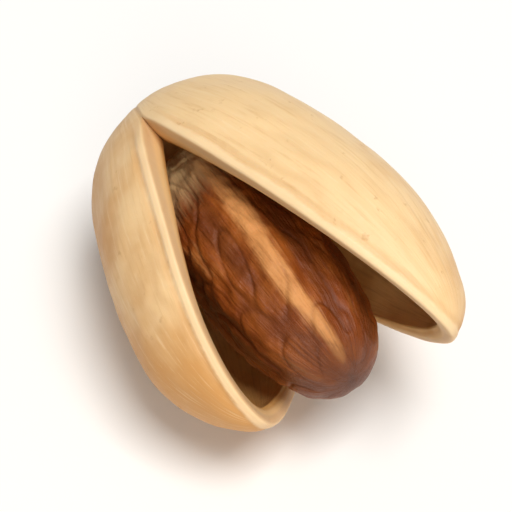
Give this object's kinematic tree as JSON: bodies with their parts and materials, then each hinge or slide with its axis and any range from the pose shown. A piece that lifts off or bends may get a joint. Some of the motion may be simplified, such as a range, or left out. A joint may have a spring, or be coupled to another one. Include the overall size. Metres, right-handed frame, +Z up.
{
  "type": "pistachio in shell",
  "caption": "Roasted pistachio lying in its tan shell, which has split wide open from the tip towards the stem end and shows the brown kernel inside.",
  "frame": {"origin": "centre of the footprint of the resting nut's bounding box, on the surface that it rests on", "axes": "+X along the nut's length seen from above, from the stem end to the open tip; +Y towards the side of the upper half; +Z up, away from the surface"},
  "size_m": [0.0194, 0.0138, 0.0126],
  "materials": {
    "shell": "satin, smooth and dry, with faint lengthwise veins",
    "kernel_skin": "wrinkled papery skin with a dull sheen"
  },
  "bodies": {
    "root": {"shell": "shell", "kernel": "kernel_skin"}
  },
  "joints": []
}
